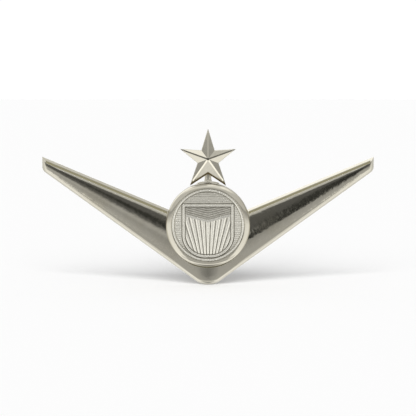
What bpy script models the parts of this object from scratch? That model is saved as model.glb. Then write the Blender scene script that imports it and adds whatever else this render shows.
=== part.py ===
"""Pilot wings pin: a V of polished wings with a round medallion, a star on a strut and a brooch pin-back.

Frame: metres, +X to the viewer's right, +Y from the viewer into the cloth, +Z up.
Origin: the medallion's centre, on the flat back plane that lies against the cloth.
"""

import math

import bmesh
import bpy
from mathutils import Matrix, Vector

MM = 0.001
JOINT_GAP = 0.05 * MM  # between two pieces that are soldered or riveted together
RUNNING_GAP = 0.06 * MM  # round a part that turns

# Wings: a straight upper line and a straight lower line on each side, meeting in a V
HALF_SPAN = 38.1 * MM
UPPER_START = -0.46 * MM  # where the upper lines would meet
UPPER_SLOPE = 0.4192
LOWER_START = -15.15 * MM  # where the lower lines would meet, before the apex is rounded
LOWER_SLOPE = 0.7228
APEX_RADIUS = 4.9 * MM
TIP_CORNER_RADIUS = 1.6 * MM
EDGE_BEVEL = 0.6 * MM  # how far the drafted side leans in from the back outline
EDGE_HEIGHT = 1.4 * MM
DOME_RISE = 0.07  # crown of the front over its edges, as a share of the local width
TIP_FADE = 0.9  # share of the half span past which the crown falls away to the tip
WING_STATIONS = 28  # sections on each side
DOME_POINTS = 9  # points across the front of a section
RECESS_START = 22.5 * MM
RECESS_END = 34.0 * MM
RECESS_WALL = 1.5 * MM
RECESS_DEPTH = 0.6 * MM

# Medallion: a cup with a rolled lip in the wings' round notch, a struck disc in it and a disc on its back
ROUND_STEPS = 72
CUP_BASE_RADIUS = 9.62 * MM
CUP_LIP_INNER = 8.32 * MM
CUP_FRONT = -4.15 * MM
CUP_ROLL_WIDTH = 1.75 * MM  # the side rolls over into the lip along part of a quarter ellipse
CUP_ROLL_DEPTH = 1.3 * MM
CUP_FLOOR_FRONT = -1.6 * MM
CUP_FLOOR_BACK = -0.6 * MM
CUP_SHOULDER = -2.55 * MM
CUP_SHOULDER_RADIUS = 7.4 * MM
DISC_RADIUS = 8.26 * MM
DISC_BACK = -2.6 * MM
DISC_GROUND = -3.45 * MM
DISC_EDGE = -3.95 * MM
DISC_EDGE_WIDTH = 0.47 * MM
DISC_CROWN = 0.15 * MM
SHIELD_HALF_WIDTH = 5.85 * MM
SHIELD_TOP = 4.8 * MM
SHIELD_SHOULDER = -2.2 * MM  # where the straight sides start to curve in
SHIELD_POINT = -7.35 * MM
SHIELD_FRONT = -4.0 * MM
BACK_DISC_RADIUS = 8.2 * MM
BACK_DISC_THICKNESS = 0.55 * MM
RIVET_OFFSET = 5.4 * MM
RIVET_HEIGHT = -2.6 * MM
RIVET_RADIUS = 0.7 * MM
RIVET_HEAD_RADIUS = 1.15 * MM
RIVET_HEAD_FRONT = -2.05 * MM

# Star, on a round strut that stands on a saddle over the cup
STAR_CENTRE = 15.0 * MM
STAR_ARMS = ((0, 7.05 * MM), (69.5, 6.85 * MM), (145.5, 7.3 * MM))  # degrees from the top, and length
STAR_NOTCHES = ((36, 2.6 * MM), (108.5, 2.55 * MM), (180, 3.3 * MM))
STAR_BACK = -2.35 * MM
STAR_EDGE = 0.4 * MM
STAR_PEAK = 1.5 * MM  # height of the peak over the star's edge
STAR_PEAK_LIFT = 0.12 * MM  # how far the peak sits above the centre
STRUT_RADIUS = 0.9 * MM
STRUT_TOP = 15.8 * MM
SADDLE_THICKNESS = 0.3 * MM
SADDLE_HALF_WIDTH = 2.65 * MM
SADDLE_BACK = -0.3 * MM
SADDLE_FRONT = -3.2 * MM

# Pin-back: a stem hinged on the left wing and held by a turning catch on the right wing
PIN_HEIGHT = 2.6 * MM
PIN_DEPTH = 2.6 * MM
HINGE_X = -16.2 * MM
CATCH_X = 16.0 * MM
PATCH_LENGTH = 6.2 * MM
PATCH_WIDTH = 4.2 * MM
PATCH_CORNER = 0.8 * MM
PATCH_BACK = 0.5 * MM
FOOT_START = PATCH_BACK + JOINT_GAP
BRACKET_FLOOR = 0.4 * MM
EAR_GAP = 1.1 * MM
EAR_THICKNESS = 0.5 * MM
EAR_RADIUS = 1.3 * MM
HINGE_RIVET_RADIUS = 0.4 * MM
HINGE_RIVET_HEAD = 0.75 * MM
HINGE_RIVET_HEAD_HEIGHT = 0.25 * MM
STEM_RADIUS = 0.42 * MM
STEM_END = 18.3 * MM
STEM_TAPER = 6.0 * MM
STEM_POINT_RADIUS = 0.05 * MM
EYE_RADIUS = 1.1 * MM
EYE_THICKNESS = 0.9 * MM
BARREL_LENGTH = 2.8 * MM
BARREL_RADIUS = 1.95 * MM
BARREL_BORE = 1.4 * MM
BARREL_SLOT = 1.3 * MM
BARREL_FOOT_WIDTH = 2.9 * MM
ROTOR_RADIUS = BARREL_BORE - RUNNING_GAP
ROTOR_BORE = 0.62 * MM
ROTOR_SLOT = 1.05 * MM
COLLAR_RADIUS = 1.7 * MM
COLLAR_LENGTH = 0.3 * MM
FLANGE_RADIUS = 1.85 * MM
FLANGE_LENGTH = 0.8 * MM
LEVER_ANGLE = math.radians(60)  # from +Y towards +Z, with the catch open
LEVER_REACH = 3.0 * MM
LEVER_WIDTH = 1.3 * MM

# Finishes: (red, green, blue), roughness, metallic
FINISHES = {
    "polished_nickel": ((0.66, 0.64, 0.58), 0.08, 1.0),
    "struck_nickel": ((0.70, 0.68, 0.62), 0.22, 1.0),
    "plain_nickel": ((0.60, 0.58, 0.53), 0.30, 1.0),
    "steel_wire": ((0.62, 0.62, 0.61), 0.20, 1.0),
}


def clear_scene():
    for obj in list(bpy.data.objects):
        bpy.data.objects.remove(obj)


def finish_material(name):
    """The Principled material of one finish, made the first time it is asked for."""
    if name in bpy.data.materials:
        return bpy.data.materials[name]
    colour, roughness, metallic = FINISHES[name]
    material = bpy.data.materials.new(name)
    material.use_nodes = True
    shader = material.node_tree.nodes["Principled BSDF"]
    shader.inputs["Base Color"].default_value = (*colour, 1.0)
    shader.inputs["Roughness"].default_value = roughness
    shader.inputs["Metallic"].default_value = metallic
    return material


def object_from(bm, name, finish, location=(0, 0, 0), smooth_angle=35):
    """Closes the bmesh's editing, shades it smooth under the angle and places it as an object."""
    bmesh.ops.recalc_face_normals(bm, faces=bm.faces)
    mesh = bpy.data.meshes.new(name)
    bm.to_mesh(mesh)
    bm.free()
    mesh.shade_smooth()
    mesh.set_sharp_from_angle(angle=math.radians(smooth_angle))
    mesh.materials.append(finish_material(finish))
    obj = bpy.data.objects.new(name, mesh)
    obj.location = location
    bpy.context.scene.collection.objects.link(obj)
    return obj


def boolean(target, operation, tool):
    """Adds one exact Boolean to the target. The tool stays in the scene as a hidden helper."""
    modifier = target.modifiers.new(f"{operation}_{tool.name}", "BOOLEAN")
    modifier.operation = operation
    modifier.solver = "EXACT"
    modifier.object = tool
    tool.hide_render = True
    tool.display_type = "WIRE"


def turned(name, finish, profile, axis="Y", steps=ROUND_STEPS, location=(0, 0, 0)):
    """A solid of revolution from a profile of (radius, place along the axis)."""
    bm = bmesh.new()
    axis_vector = {"X": Vector((1, 0, 0)), "Y": Vector((0, 1, 0)), "Z": Vector((0, 0, 1))}[axis]
    radial = Vector((0, 0, 1)) if axis != "Z" else Vector((1, 0, 0))
    points = [bm.verts.new(radial * radius + axis_vector * along) for radius, along in profile]
    edges = [bm.edges.new(pair) for pair in zip(points, points[1:])]
    bmesh.ops.spin(
        bm,
        geom=points + edges,
        cent=(0, 0, 0),
        axis=axis_vector,
        angle=math.tau,
        steps=steps,
        use_merge=True,
    )
    bmesh.ops.remove_doubles(bm, verts=bm.verts, dist=1e-7)
    bmesh.ops.delete(bm, geom=[e for e in bm.edges if not e.link_faces], context="EDGES")
    return object_from(bm, name, finish, location)


def slab(name, finish, outline, start, end, location=(0, 0, 0)):
    """An outline extruded from start to end. The outline's points are Vectors, and start and end too."""
    bm = bmesh.new()
    face = bm.faces.new([bm.verts.new(point + start) for point in outline])
    moved = bmesh.ops.extrude_face_region(bm, geom=[face])["geom"]
    verts = [item for item in moved if isinstance(item, bmesh.types.BMVert)]
    bmesh.ops.translate(bm, verts=verts, vec=end - start)
    return object_from(bm, name, finish, location)


def arc(centre, radius, start, end, steps):
    """Points (a, b) on an arc in a plane, with the angles in radians from the a axis towards the b axis."""
    turn = (end - start) / steps
    return [
        (centre[0] + radius * math.cos(start + turn * i), centre[1] + radius * math.sin(start + turn * i))
        for i in range(steps + 1)
    ]


def rounded_rectangle(length, width, corner, steps=5):
    """Outline (a, b) of a rectangle with round corners, centred on (0, 0)."""
    points = []
    for quarter, (side_a, side_b) in enumerate(((1, 1), (-1, 1), (-1, -1), (1, -1))):
        centre = (side_a * (length / 2 - corner), side_b * (width / 2 - corner))
        points += arc(centre, corner, quarter * math.pi / 2, (quarter + 1) * math.pi / 2, steps)
    return points


# ---- wings ----


def upper_line(x, inset):
    """Height of the wings' upper edge at x, moved inwards by inset."""
    return UPPER_START + UPPER_SLOPE * abs(x) - inset * math.hypot(1, UPPER_SLOPE)


def lower_line(x, inset):
    """Height of the wings' lower edge at x, moved in by inset. The apex and tip corners are round."""
    x = abs(x)
    secant = math.hypot(1, LOWER_SLOPE)
    start = LOWER_START + inset * secant
    apex_radius = APEX_RADIUS - inset
    if x < apex_radius * LOWER_SLOPE / secant:
        return start + apex_radius * secant - math.sqrt(apex_radius**2 - x**2)
    corner_radius = TIP_CORNER_RADIUS - inset
    corner_x = HALF_SPAN - TIP_CORNER_RADIUS
    if x > corner_x + corner_radius * LOWER_SLOPE / secant:
        centre = start + LOWER_SLOPE * corner_x + corner_radius * secant
        return centre - math.sqrt(max(0.0, corner_radius**2 - (x - corner_x) ** 2))
    return start + LOWER_SLOPE * x


def wing_section(share):
    """Points of one section, share of the way from the centre to a tip, from lower to upper back edge."""
    outline_x = share * HALF_SPAN
    ridge_x = share * (HALF_SPAN - EDGE_BEVEL)
    low, high = lower_line(ridge_x, EDGE_BEVEL), upper_line(ridge_x, EDGE_BEVEL)
    past = max(0.0, (abs(share) - TIP_FADE) / (1 - TIP_FADE))
    rise = DOME_RISE * (high - low) * math.sqrt(1 - min(1.0, past) ** 2)
    points = [(outline_x, 0.0, lower_line(outline_x, 0.0))]
    for i in range(DOME_POINTS):
        across = (1 - math.cos(math.pi * i / (DOME_POINTS - 1))) / 2
        crown = EDGE_HEIGHT + rise * (1 - (2 * across - 1) ** 2)
        points.append((ridge_x, -crown, low + (high - low) * across))
    return points + [(outline_x, 0.0, upper_line(outline_x, 0.0))]


def station_shares():
    """Places of the sections from tip to tip, closer together towards the round tips and the apex."""
    half = []
    for i in range(WING_STATIONS + 1):
        even = i / WING_STATIONS
        half.append(even - 0.065 * math.sin(math.tau * even))
    return [-share for share in reversed(half[1:])] + half


def make_wings():
    bm = bmesh.new()
    rings = [[bm.verts.new(point) for point in wing_section(share)] for share in station_shares()]
    count = len(rings[0])
    for ring, following in zip(rings, rings[1:]):
        for i in range(count):
            j = (i + 1) % count
            bm.faces.new((ring[i], ring[j], following[j], following[i]))
    bm.faces.new(rings[0])
    bm.faces.new(rings[-1])
    wings = object_from(bm, "wings_body", "polished_nickel", smooth_angle=30)
    notch_radius = CUP_BASE_RADIUS + JOINT_GAP
    notch = [(0, 2 * CUP_FRONT), (notch_radius, 2 * CUP_FRONT), (notch_radius, 1 * MM), (0, 1 * MM)]
    boolean(wings, "DIFFERENCE", turned("cup_notch", "plain_nickel", notch))
    for side in (-1, 1):
        boolean(wings, "DIFFERENCE", wing_recess(side))
    return wings


def wing_recess(side):
    """Shallow hollow in the back of one wing, parallel to its edges."""
    corners = [
        (RECESS_START, lower_line(RECESS_START, RECESS_WALL)),
        (RECESS_END, lower_line(RECESS_END, RECESS_WALL)),
        (RECESS_END, upper_line(RECESS_END, RECESS_WALL)),
        (RECESS_START, upper_line(RECESS_START, RECESS_WALL)),
    ]
    outline = [Vector((side * x, 0, z)) for x, z in corners]
    name = "recess_right" if side > 0 else "recess_left"
    return slab(name, "plain_nickel", outline, Vector((0, -RECESS_DEPTH, 0)), Vector((0, 1 * MM, 0)))


# ---- medallion ----


def make_cup():
    roll_centre = CUP_BASE_RADIUS - CUP_ROLL_WIDTH
    roll_end = math.acos((CUP_LIP_INNER - roll_centre) / CUP_ROLL_WIDTH)
    roll_start = CUP_FRONT + CUP_ROLL_DEPTH * math.sin(roll_end)
    profile = [
        (0, CUP_FLOOR_BACK),
        (BACK_DISC_RADIUS + JOINT_GAP, CUP_FLOOR_BACK),
        (BACK_DISC_RADIUS + JOINT_GAP, 0),
        (CUP_BASE_RADIUS, 0),
    ]
    for i in range(9):
        angle = roll_end * i / 8
        across, forward = CUP_ROLL_WIDTH * math.cos(angle), CUP_ROLL_DEPTH * math.sin(angle)
        profile.append((roll_centre + across, roll_start - forward))
    profile += [
        (CUP_LIP_INNER, CUP_SHOULDER),
        (CUP_SHOULDER_RADIUS, CUP_SHOULDER),
        (CUP_SHOULDER_RADIUS, CUP_FLOOR_FRONT),
        (0, CUP_FLOOR_FRONT),
    ]
    return turned("medallion_cup", "polished_nickel", profile)


def shield_outline():
    """A plain heater shield: straight top and sides, each side then curving in to the point."""
    drop = SHIELD_SHOULDER - SHIELD_POINT
    radius = (drop**2 + SHIELD_HALF_WIDTH**2) / (2 * SHIELD_HALF_WIDTH)
    sweep = math.asin(drop / radius)
    right = arc((SHIELD_HALF_WIDTH - radius, SHIELD_SHOULDER), radius, 0, -sweep, 8)
    left = [(-x, z) for x, z in reversed(right[:-1])]
    return [(SHIELD_HALF_WIDTH, SHIELD_TOP)] + right + left + [(-SHIELD_HALF_WIDTH, SHIELD_TOP)]


def make_disc():
    edge_inner = DISC_RADIUS - DISC_EDGE_WIDTH
    crown = [
        (edge_inner * math.cos(angle), DISC_GROUND - DISC_CROWN * math.sin(angle))
        for angle in [math.pi / 2 * i / 4 for i in range(5)]
    ]
    profile = [(0, DISC_BACK), (DISC_RADIUS, DISC_BACK), (DISC_RADIUS, DISC_EDGE), (edge_inner, DISC_EDGE)]
    disc = turned("medallion_disc", "struck_nickel", profile + crown[:-1] + [(0, crown[-1][1])])
    outline = [Vector((x, 0, z)) for x, z in shield_outline()]
    raised = slab(
        "shield_helper",
        "struck_nickel",
        outline,
        Vector((0, SHIELD_FRONT, 0)),
        Vector((0, DISC_GROUND + 0.2 * MM, 0)),
    )
    boolean(disc, "UNION", raised)
    return disc


def make_back_disc():
    front = -BACK_DISC_THICKNESS
    profile = [(0, 0), (BACK_DISC_RADIUS, 0), (BACK_DISC_RADIUS, front), (0, front)]
    return turned("medallion_back_disc", "plain_nickel", profile)


def make_rivets(*clamped):
    """Two rivets with low heads under the struck disc, and flared tails flush with the back disc."""
    shank, head, tail_flare = RIVET_RADIUS, RIVET_HEAD_RADIUS, -0.35 * MM
    under_head, tail_end = CUP_FLOOR_FRONT - JOINT_GAP, -0.03 * MM
    rivet = [(0, RIVET_HEAD_FRONT), (head, RIVET_HEAD_FRONT), (head, under_head), (shank, under_head)]
    rivet += [(shank, tail_flare), (head, tail_end), (0, tail_end)]
    hole = [(0, RIVET_HEAD_FRONT), (shank + JOINT_GAP, RIVET_HEAD_FRONT)]
    hole += [(shank + JOINT_GAP, tail_flare - JOINT_GAP), (head + JOINT_GAP, tail_end)]
    hole += [(head + JOINT_GAP, 1 * MM), (0, 1 * MM)]
    for side, word in ((-1, "left"), (1, "right")):
        place = (side * RIVET_OFFSET, 0, RIVET_HEIGHT)
        turned(f"medallion_rivet_{word}", "plain_nickel", rivet, steps=20, location=place)
        cutter = turned(f"rivet_hole_{word}", "plain_nickel", hole, steps=20, location=place)
        for piece in clamped:
            boolean(piece, "DIFFERENCE", cutter)


# ---- star ----


def star_outline():
    """Corners (x, z) round the star from its top arm, the arms and the notches in turn."""
    right = []
    for arm, notch in zip(STAR_ARMS, STAR_NOTCHES):
        right += [arm, notch]
    corners = [(r * math.sin(math.radians(a)), r * math.cos(math.radians(a))) for a, r in right]
    return corners + [(-x, z) for x, z in reversed(corners[1:-1])]


def make_star():
    bm = bmesh.new()
    outline = star_outline()
    back = [bm.verts.new((x, STAR_BACK, z)) for x, z in outline]
    front = [bm.verts.new((x, STAR_BACK - STAR_EDGE, z)) for x, z in outline]
    peak = bm.verts.new((0, STAR_BACK - STAR_EDGE - STAR_PEAK, STAR_PEAK_LIFT))
    bm.faces.new(back)
    for i in range(len(outline)):
        j = (i + 1) % len(outline)
        bm.faces.new((back[i], back[j], front[j], front[i]))
        bm.faces.new((front[i], front[j], peak))
    return object_from(bm, "star", "polished_nickel", (0, 0, STAR_CENTRE), smooth_angle=1)


def make_strut():
    foot = CUP_BASE_RADIUS + SADDLE_THICKNESS + 2 * JOINT_GAP
    profile = [(0, foot), (STRUT_RADIUS, foot), (STRUT_RADIUS, STRUT_TOP), (0, STRUT_TOP)]
    place = (0, STAR_BACK + JOINT_GAP + STRUT_RADIUS, 0)
    return turned("star_strut", "polished_nickel", profile, axis="Z", steps=28, location=place)


def make_saddle():
    """An oval foot that lies over the top of the cup."""
    back, front = SADDLE_BACK + 0.2 * MM, SADDLE_FRONT - 0.2 * MM
    inner = [(CUP_BASE_RADIUS + JOINT_GAP, y) for y in (back, front)]
    outer = [(radius + SADDLE_THICKNESS, y) for radius, y in reversed(inner)]
    half_angle = math.asin(1.2 * SADDLE_HALF_WIDTH / CUP_BASE_RADIUS)
    bm = bmesh.new()
    face = bm.faces.new([bm.verts.new((0, y, radius)) for radius, y in inner + outer])
    turn = Matrix.Rotation(-half_angle, 3, "Y")
    bmesh.ops.rotate(bm, verts=bm.verts, cent=(0, 0, 0), matrix=turn)
    bmesh.ops.spin(
        bm,
        geom=[face] + list(face.edges) + list(face.verts),
        cent=(0, 0, 0),
        axis=(0, 1, 0),
        angle=2 * half_angle,
        steps=16,
    )
    saddle = object_from(bm, "star_saddle", "polished_nickel")
    middle, half = (SADDLE_BACK + SADDLE_FRONT) / 2, (SADDLE_BACK - SADDLE_FRONT) / 2
    oval = [
        Vector((SADDLE_HALF_WIDTH * math.cos(angle), middle + half * math.sin(angle), 0))
        for angle in [math.tau * (i + 0.5) / 36 for i in range(36)]
    ]
    low, high = Vector((0, 0, 0.8 * CUP_BASE_RADIUS)), Vector((0, 0, 1.2 * CUP_BASE_RADIUS))
    boolean(saddle, "INTERSECT", slab("oval_helper", "polished_nickel", oval, low, high))
    return saddle


# ---- pin-back ----


def make_patch(name, x):
    """A foot plate soldered to the back of a wing."""
    outline = [Vector((a, 0, b)) for a, b in rounded_rectangle(PATCH_LENGTH, PATCH_WIDTH, PATCH_CORNER)]
    place = (x, 0, PIN_HEIGHT)
    return slab(name, "plain_nickel", outline, Vector((0, JOINT_GAP, 0)), Vector((0, PATCH_BACK, 0)), place)


def make_hinge_bracket():
    """A floor with two ears, one above and one below the stem's eye."""
    half_height = EAR_GAP / 2 + EAR_THICKNESS
    corners = rounded_rectangle(2 * EAR_RADIUS + 1.2 * MM, 2 * half_height, 0.4 * MM)
    floor = [Vector((a, 0, b)) for a, b in corners]
    place = (HINGE_X, 0, PIN_HEIGHT)
    floor_end = FOOT_START + BRACKET_FLOOR
    bracket = slab(
        "hinge_bracket", "plain_nickel", floor, Vector((0, FOOT_START, 0)), Vector((0, floor_end, 0)), place
    )
    ear = [(EAR_RADIUS, floor_end - BRACKET_FLOOR / 2)]
    ear += arc((0, PIN_DEPTH), EAR_RADIUS, 0, math.pi, 14)
    ear += [(-EAR_RADIUS, floor_end - BRACKET_FLOOR / 2)]
    outline = [Vector((a, b, 0)) for a, b in ear]
    for side, word in ((-1, "low"), (1, "high")):
        near, far = Vector((0, 0, side * EAR_GAP / 2)), Vector((0, 0, side * half_height))
        tab = slab(f"ear_{word}_helper", "plain_nickel", outline, near, far, place)
        boolean(bracket, "UNION", tab)
    hole = turned(
        "ear_hole_helper",
        "plain_nickel",
        [(0, -2 * half_height), (HINGE_RIVET_RADIUS + JOINT_GAP, -2 * half_height)]
        + [(HINGE_RIVET_RADIUS + JOINT_GAP, 2 * half_height), (0, 2 * half_height)],
        axis="Z",
        steps=20,
        location=(HINGE_X, PIN_DEPTH, PIN_HEIGHT),
    )
    boolean(bracket, "DIFFERENCE", hole)
    return bracket


def make_hinge_rivet():
    reach = EAR_GAP / 2 + EAR_THICKNESS + JOINT_GAP
    head = reach + HINGE_RIVET_HEAD_HEIGHT
    half = [
        (HINGE_RIVET_RADIUS, reach),
        (HINGE_RIVET_HEAD, reach),
        (HINGE_RIVET_HEAD, reach + HINGE_RIVET_HEAD_HEIGHT * 0.4),
        (HINGE_RIVET_HEAD * 0.7, head),
        (0, head),
    ]
    profile = [(radius, -along) for radius, along in reversed(half)] + half
    place = (HINGE_X, PIN_DEPTH, PIN_HEIGHT)
    return turned("hinge_rivet", "plain_nickel", profile, axis="Z", steps=20, location=place)


def make_stem():
    """The pointed wire with a flat eye round the hinge rivet. Its origin is on the hinge axis."""
    place = (HINGE_X, PIN_DEPTH, PIN_HEIGHT)
    hole = HINGE_RIVET_RADIUS + RUNNING_GAP
    outer = arc((0, 0), EYE_RADIUS, 0, math.tau, 24)[:-1]
    outline = [Vector((a, b, 0)) for a, b in outer]
    half = EYE_THICKNESS / 2
    stem = slab("pin_stem", "steel_wire", outline, Vector((0, 0, -half)), Vector((0, 0, half)), place)
    start, end = 0.75 * MM, STEM_END - HINGE_X
    wire = turned(
        "wire_helper",
        "steel_wire",
        [(0, start), (STEM_RADIUS, start), (STEM_RADIUS, end - STEM_TAPER)]
        + [(STEM_RADIUS * 0.6, end - STEM_TAPER * 0.3), (STEM_POINT_RADIUS, end), (0, end)],
        axis="X",
        steps=16,
        location=place,
    )
    boolean(stem, "UNION", wire)
    bore = turned(
        "eye_hole_helper",
        "steel_wire",
        [(0, -EYE_THICKNESS), (hole, -EYE_THICKNESS), (hole, EYE_THICKNESS), (0, EYE_THICKNESS)],
        axis="Z",
        steps=20,
        location=place,
    )
    boolean(stem, "DIFFERENCE", bore)
    return stem


def make_catch_body():
    """A split barrel on a foot, open away from the wing so that the stem can swing in."""
    half_foot = BARREL_FOOT_WIDTH / 2
    slot_angle = math.asin(BARREL_SLOT / 2 / BARREL_RADIUS)
    foot_angle = math.pi - math.asin(half_foot / BARREL_RADIUS)
    foot_depth = FOOT_START - PIN_DEPTH
    outline = arc((0, 0), BARREL_RADIUS, slot_angle, foot_angle, 10)
    outline += [(foot_depth, half_foot), (foot_depth, -half_foot)]
    outline += arc((0, 0), BARREL_RADIUS, -foot_angle, -slot_angle, 10)
    inner_start = math.asin(BARREL_SLOT / 2 / BARREL_BORE)
    outline += arc((0, 0), BARREL_BORE, -inner_start, inner_start - math.tau, 22)
    points = [Vector((0, a, b)) for a, b in outline]
    half = Vector((BARREL_LENGTH / 2, 0, 0))
    return slab("catch_body", "plain_nickel", points, -half, half, (CATCH_X, PIN_DEPTH, PIN_HEIGHT))


def make_catch_rotor():
    """The split sleeve that turns in the barrel, with a collar, a flange and a thumb lever."""
    place = (CATCH_X, PIN_DEPTH, PIN_HEIGHT)
    inboard = -BARREL_LENGTH / 2 - RUNNING_GAP
    outboard = -inboard
    profile = [
        (ROTOR_BORE, inboard - COLLAR_LENGTH),
        (COLLAR_RADIUS, inboard - COLLAR_LENGTH),
        (COLLAR_RADIUS, inboard),
        (ROTOR_RADIUS, inboard),
        (ROTOR_RADIUS, outboard),
        (FLANGE_RADIUS, outboard),
        (FLANGE_RADIUS, outboard + FLANGE_LENGTH),
        (ROTOR_BORE, outboard + FLANGE_LENGTH),
        (ROTOR_BORE, inboard - COLLAR_LENGTH),
    ]
    rotor = turned("catch_rotor", "plain_nickel", profile, axis="X", steps=40, location=place)
    half = ROTOR_SLOT / 2
    mouth = [Vector((0, 0, -half)), Vector((0, 2 * COLLAR_RADIUS, -half))]
    mouth += [Vector((0, 2 * COLLAR_RADIUS, half)), Vector((0, 0, half))]
    reach = Vector((2 * BARREL_LENGTH, 0, 0))
    boolean(rotor, "DIFFERENCE", slab("mouth_helper", "plain_nickel", mouth, -reach, reach, place))
    root, half = FLANGE_RADIUS - 0.5 * MM, LEVER_WIDTH / 2
    tip = arc((LEVER_REACH - half, 0), half, -math.pi / 2, math.pi / 2, 8)
    flat = [(root, -half)] + tip + [(root, half)]
    turn = Matrix.Rotation(LEVER_ANGLE, 3, "X")
    outline = [turn @ Vector((0, a, b)) for a, b in flat]
    start = Vector((outboard + 0.12 * MM, 0, 0))
    lever = slab("lever_helper", "plain_nickel", outline, start, start + Vector((0.56 * MM, 0, 0)), place)
    boolean(rotor, "UNION", lever)
    return rotor


def main():
    clear_scene()
    make_wings()
    cup = make_cup()
    make_disc()
    back_disc = make_back_disc()
    make_rivets(cup, back_disc)
    make_star()
    make_strut()
    make_saddle()
    make_patch("hinge_patch", HINGE_X)
    make_hinge_bracket()
    make_hinge_rivet()
    make_stem()
    make_patch("catch_patch", CATCH_X)
    make_catch_body()
    make_catch_rotor()


main()
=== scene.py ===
"""Looks of the pilot wings pin: polished metal and struck relief, on a white table."""

import math

import bmesh
import bpy
import numpy as np
from mathutils import Matrix, Vector


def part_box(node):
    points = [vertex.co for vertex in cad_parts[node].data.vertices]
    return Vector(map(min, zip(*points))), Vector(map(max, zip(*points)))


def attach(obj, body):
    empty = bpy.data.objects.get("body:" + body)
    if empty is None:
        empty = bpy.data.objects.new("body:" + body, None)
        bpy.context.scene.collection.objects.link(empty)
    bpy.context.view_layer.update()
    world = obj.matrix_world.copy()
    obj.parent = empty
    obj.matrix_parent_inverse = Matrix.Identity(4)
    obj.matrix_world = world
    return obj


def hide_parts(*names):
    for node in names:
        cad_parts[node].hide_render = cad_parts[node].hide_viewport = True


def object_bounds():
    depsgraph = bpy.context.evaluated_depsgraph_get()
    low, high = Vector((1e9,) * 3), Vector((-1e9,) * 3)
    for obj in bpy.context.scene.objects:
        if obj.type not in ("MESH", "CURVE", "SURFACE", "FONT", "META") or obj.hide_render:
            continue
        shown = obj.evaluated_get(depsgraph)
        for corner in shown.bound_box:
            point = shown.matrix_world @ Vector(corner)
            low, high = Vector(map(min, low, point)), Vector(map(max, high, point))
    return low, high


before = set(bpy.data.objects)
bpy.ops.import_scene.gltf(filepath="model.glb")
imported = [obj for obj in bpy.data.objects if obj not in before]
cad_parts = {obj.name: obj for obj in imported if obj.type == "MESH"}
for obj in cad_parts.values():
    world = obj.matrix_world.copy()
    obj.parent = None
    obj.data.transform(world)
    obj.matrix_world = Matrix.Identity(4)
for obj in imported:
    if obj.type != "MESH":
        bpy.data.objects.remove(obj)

CAD_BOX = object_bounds()

# Everything below is in millimetres, in the frame's axes. place() turns a finished mesh into metres.
MM = 0.001


def box_mm(node):
    low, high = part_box(node)
    return low / MM, high / MM


WINGS_LOW, WINGS_HIGH = box_mm("wings_body")
CUP_LOW, CUP_HIGH = box_mm("medallion_cup")
DISC_HIGH = box_mm("medallion_disc")[1]
BACK_DISC_LOW, BACK_DISC_HIGH = box_mm("medallion_back_disc")
STAR_LOW, STAR_HIGH = box_mm("star")
STRUT_LOW, STRUT_HIGH = box_mm("star_strut")
SADDLE_LOW, SADDLE_HIGH = box_mm("star_saddle")

JOINT_GAP = 0.05  # between two pieces that are soldered or riveted together

# Wings
HALF_SPAN = WINGS_HIGH.x
EDGE_BEVEL = 0.6
EDGE_HEIGHT = 1.4
UPPER_SLOPE = 0.4192
UPPER_START = WINGS_HIGH.z - UPPER_SLOPE * HALF_SPAN
LOWER_SLOPE = 0.7228
APEX_RADIUS = 4.9
LOWER_START = WINGS_LOW.z - APEX_RADIUS * (math.hypot(1, LOWER_SLOPE) - 1)
TIP_CORNER_RADIUS = 1.6
DOME_RISE = 0.06
RIDGE_ROLL = 0.07  # drop of the front towards the upper ridge
RIDGE_ROLL_WIDTH = 0.9
TIP_FADE = 0.9  # share of the half span past which the crown falls to the tip
UPPER_ROUND = 0.32
LOWER_ROUND = 0.4
NOTCH_ROUND = 0.28
RECESS_START = 22.5
RECESS_END = 34.0
RECESS_WALL = 1.725
RECESS_SIDE = 0.2
RECESS_DEPTH = 0.6

# Medallion
CUP_BASE_RADIUS = CUP_HIGH.x
CUP_FRONT = CUP_LOW.y
CUP_ROLL_WIDTH = 1.75
CUP_ROLL_DEPTH = 1.3
CUP_LIP_INNER = 8.32
NOTCH_RADIUS = CUP_BASE_RADIUS + 0.04
DISC_RADIUS = DISC_HIGH.x
RING_INNER = 7.79
RING_FRONT = -3.97
RING_RISE = 0.16
GROUND = -3.45

SHIELD_HALF_WIDTH = 5.85
SHIELD_TOP = 4.8
SHIELD_SHOULDER = -2.2
SHIELD_POINT = -7.35

# ---- mesh helpers ----

ONE_SPOT = 1e-4  # points closer than this are one point
ON_AXIS = 1e-6


def linked(name, data):
    obj = bpy.data.objects.new(name, data)
    bpy.context.scene.collection.objects.link(obj)
    return obj


def bmesh_object(name, bm):
    bmesh.ops.recalc_face_normals(bm, faces=bm.faces)
    mesh = bpy.data.meshes.new(name)
    bm.to_mesh(mesh)
    bm.free()
    return linked(name, mesh)


def mesh_object(name, verts, faces):
    mesh = bpy.data.meshes.new(name)
    mesh.from_pydata([tuple(v) for v in verts], [], [tuple(f) for f in faces])
    mesh.validate()
    bm = bmesh.new()
    bm.from_mesh(mesh)
    bpy.data.meshes.remove(mesh)
    return bmesh_object(name, bm)


def modify(obj, kind, **settings):
    """Applies one modifier to the object's mesh."""
    modifier = obj.modifiers.new(kind, kind)
    for key, value in settings.items():
        setattr(modifier, key, value)
    graph = bpy.context.evaluated_depsgraph_get()
    mesh = bpy.data.meshes.new_from_object(obj.evaluated_get(graph))
    obj.modifiers.clear()
    obj.data = mesh


def combine(obj, operation, *tools):
    """Applies an exact Boolean with each tool, then removes the tools."""
    for tool in tools:
        modify(obj, "BOOLEAN", operation=operation, solver="EXACT", object=tool)
        bpy.data.objects.remove(tool)


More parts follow.
